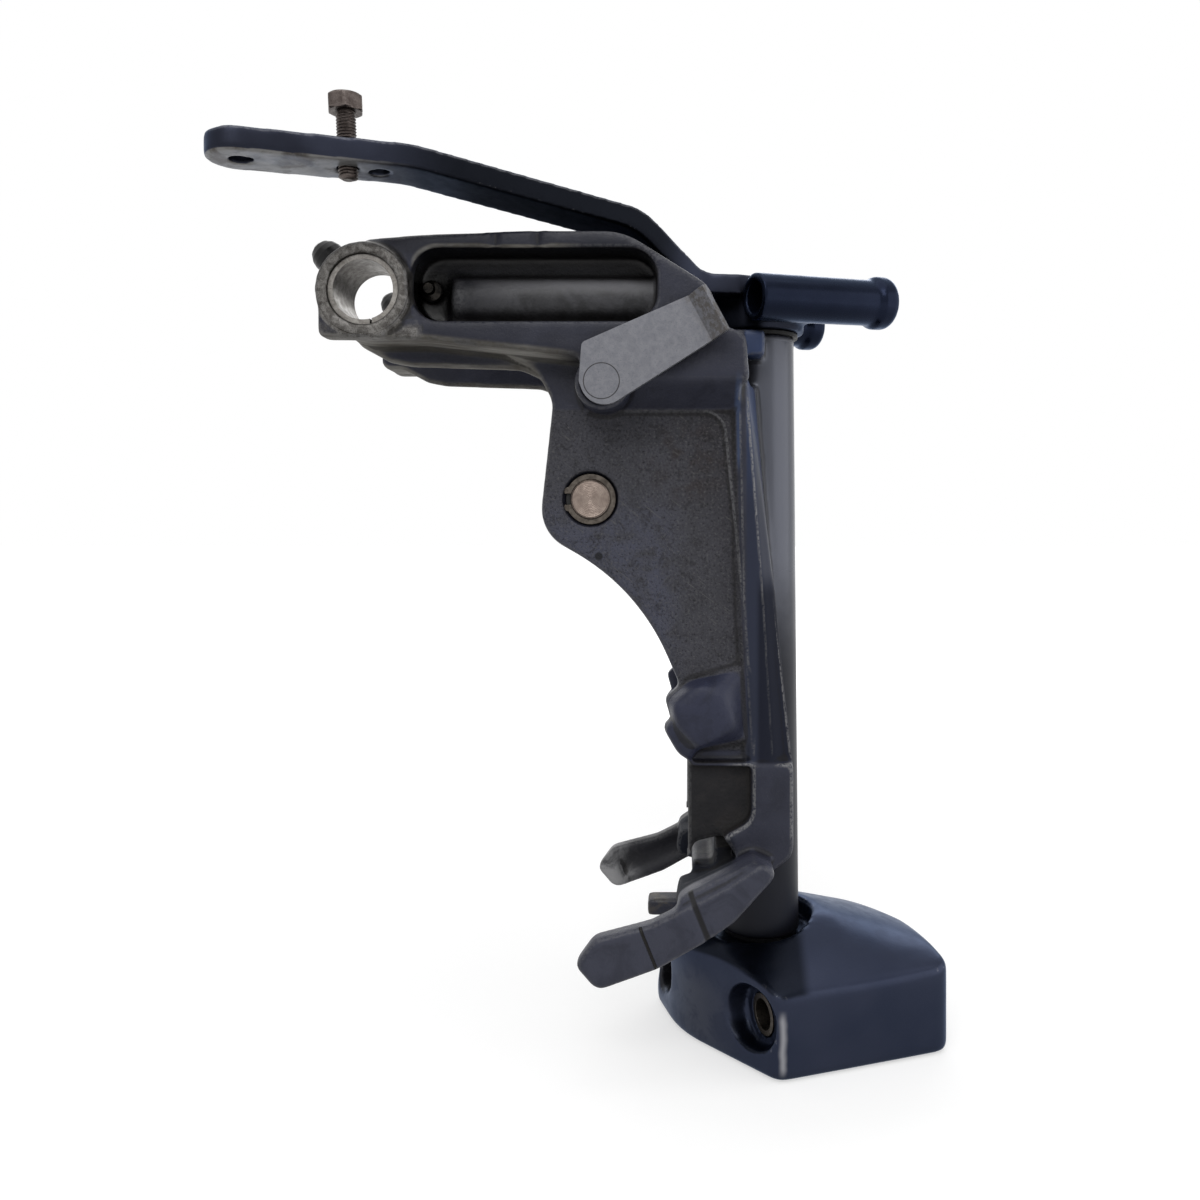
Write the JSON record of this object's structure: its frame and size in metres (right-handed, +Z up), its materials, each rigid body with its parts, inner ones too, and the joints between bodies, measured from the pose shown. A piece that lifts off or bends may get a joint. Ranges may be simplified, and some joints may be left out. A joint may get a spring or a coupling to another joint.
{
  "type": "outboard swivel bracket",
  "caption": "Cast outboard swivel bracket with tilt ears, pinned cheeks, thrust claws, stop levers and a steering arm, head and lower mount yoke on one pivot shaft.",
  "frame": {"origin": "centre of the tilt tube bore, midway between the two ears", "axes": "+X aft towards the swivel tube, +Y starboard along the tilt bore, +Z up along the swivel tube"},
  "size_m": [0.305, 0.1807, 0.4137],
  "materials": {
    "casting_paint": "semi-gloss dark metallic blue-grey, worn",
    "head_paint": "glossy dark metallic blue-grey",
    "yoke_paint": "glossy dark metallic blue-grey, worn edges",
    "bush_plastic": "greasy dark plastic",
    "bare_steel": "turned bright steel",
    "lever_steel": "speckled stainless plate",
    "dark_steel": "dark oily steel",
    "bolt_steel": "tarnished steel",
    "bush_metal": "bare grey metal",
    "seal_rubber": "black rubber",
    "brass_fitting": "dirty brass"
  },
  "bodies": {
    "bracket": {"swivel_bracket": "casting_paint", "tilt_bush_port": "bush_metal", "tilt_bush_starboard": "bush_metal", "ear_grease_nipple_port": "brass_fitting", "ear_grease_nipple_starboard": "brass_fitting", "ear_grease_cap_port": "seal_rubber", "ear_grease_cap_starboard": "seal_rubber", "tilt_pin": "bare_steel", "tilt_pin_bush_port": "bush_plastic", "tilt_pin_bush_starboard": "bush_plastic", "tilt_pin_circlip_port": "dark_steel", "tilt_pin_circlip_starboard": "dark_steel", "stop_shaft_bush_port": "bush_plastic", "stop_shaft_bush_starboard": "bush_plastic", "upper_swivel_bush": "bush_plastic", "lower_swivel_bush": "bush_plastic", "upper_thrust_washer": "bush_plastic", "lower_seal": "seal_rubber", "swivel_grease_nipple": "brass_fitting"},
    "steering": {"steering_arm": "head_paint", "upper_mount_tube_port": "head_paint", "upper_mount_tube_starboard": "head_paint", "pivot_shaft": "dark_steel", "lower_yoke": "yoke_paint", "yoke_circlip": "dark_steel", "lower_mount_sleeve_port": "dark_steel", "lower_mount_sleeve_starboard": "dark_steel", "steering_bolt": "bolt_steel"},
    "tilt_stop": {"stop_shaft": "lever_steel", "stop_lever_port": "lever_steel", "stop_lever_starboard": "lever_steel"}
  },
  "joints": [
    {"name": "steering_swivel", "type": "hinge", "parent": "bracket", "child": "steering", "pos_m": [0.173, 0, 0], "axis": [0, 0, 1], "range_deg": [-65, 15]},
    {"name": "tilt_stop_swing", "type": "hinge", "parent": "bracket", "child": "tilt_stop", "pos_m": [0.1015, 0, -0.0394], "axis": [0, 1, 0], "range_deg": [0, 100]}
  ]
}
